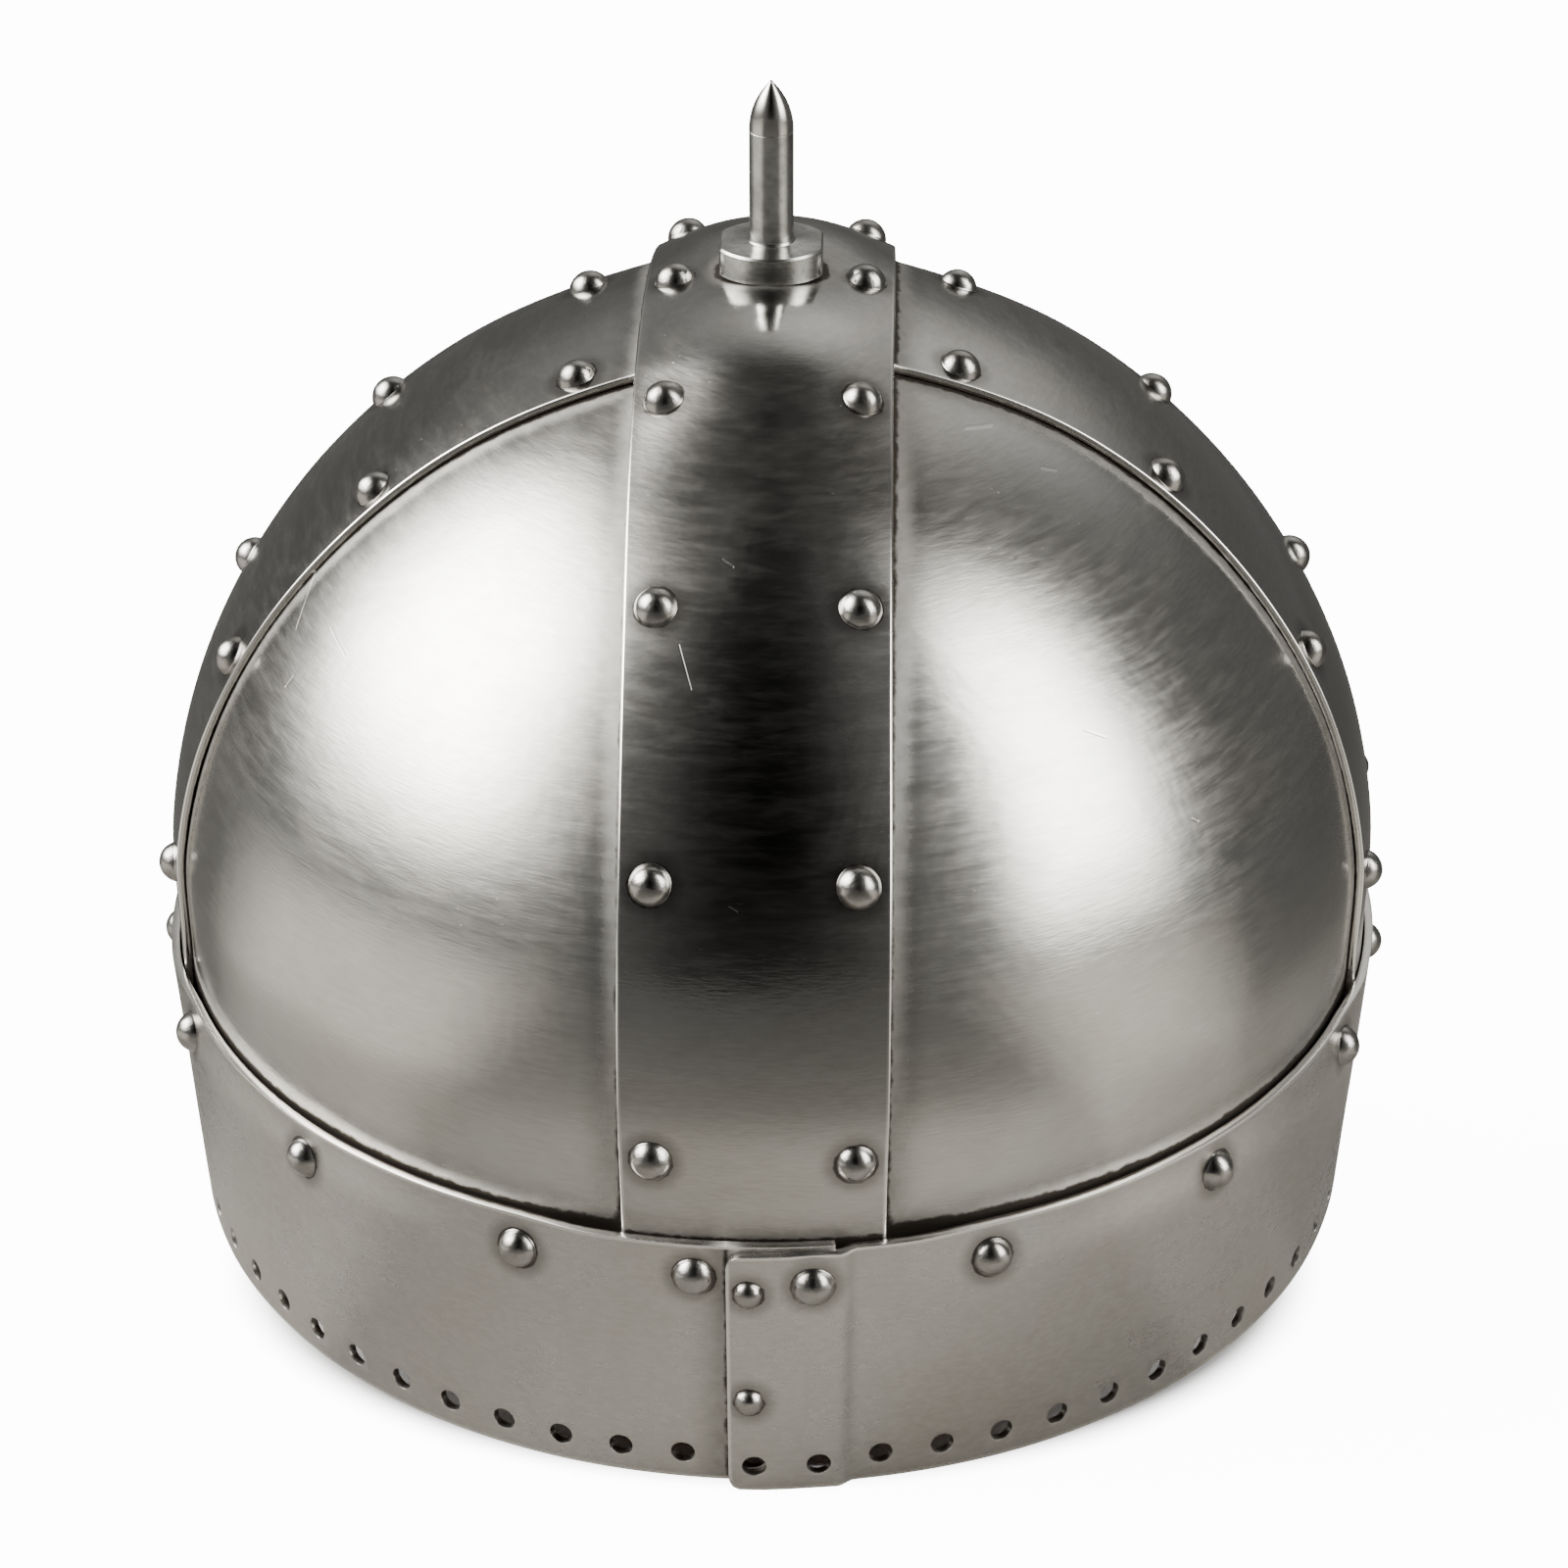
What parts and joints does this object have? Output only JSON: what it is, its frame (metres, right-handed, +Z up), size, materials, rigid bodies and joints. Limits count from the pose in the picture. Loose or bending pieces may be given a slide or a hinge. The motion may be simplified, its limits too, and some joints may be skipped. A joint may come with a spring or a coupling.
{
  "type": "spectacle helmet",
  "caption": "Spectacle helmet: a riveted bowl of plates and strips, a holed brow band, an eye and nose guard, a bolted crown spike and a laced leather liner.",
  "frame": {"origin": "middle of the bounding box's footprint, on the table the helmet stands on", "axes": "+Z up, -Y the way the wearer faces, +X the wearer's left; the helmet stands tilted back by 11.64 degrees on the two loops of its guard and the rear edge of its brow band"},
  "size_m": [0.2222, 0.2591, 0.2243],
  "materials": {
    "bowl_steel": "satin",
    "strip_steel": "satin",
    "band_steel": "satin",
    "rivet_steel": "satin",
    "spike_zinc": "satin, zinc plated",
    "liner_leather": "matte",
    "lace_leather": "matte"
  },
  "bodies": {
    "root": {"plate_rear_left": "bowl_steel", "plate_rear_right": "bowl_steel", "plate_front_left": "bowl_steel", "plate_front_right": "bowl_steel", "crest_strip": "strip_steel", "side_strip_left": "strip_steel", "side_strip_right": "strip_steel", "brow_band": "band_steel", "spectacle_guard": "band_steel", "spike": "spike_zinc", "spike_washer": "spike_zinc", "spike_nut": "spike_zinc", "rivets_crest_rear": "rivet_steel", "rivets_crest_front": "rivet_steel", "rivets_crown": "rivet_steel", "rivets_side_left": "rivet_steel", "rivets_side_right": "rivet_steel", "rivets_brow_band": "rivet_steel", "rivets_band_seam": "rivet_steel", "rivets_guard": "rivet_steel", "liner_band": "liner_leather", "liner_washers": "spike_zinc", "liner_lace": "lace_leather", "liner_tongue_1": "liner_leather", "liner_tongue_2": "liner_leather", "liner_tongue_3": "liner_leather", "liner_tongue_4": "liner_leather", "liner_tongue_5": "liner_leather", "liner_tongue_6": "liner_leather", "liner_tongue_7": "liner_leather", "liner_tongue_8": "liner_leather"}
  },
  "joints": []
}
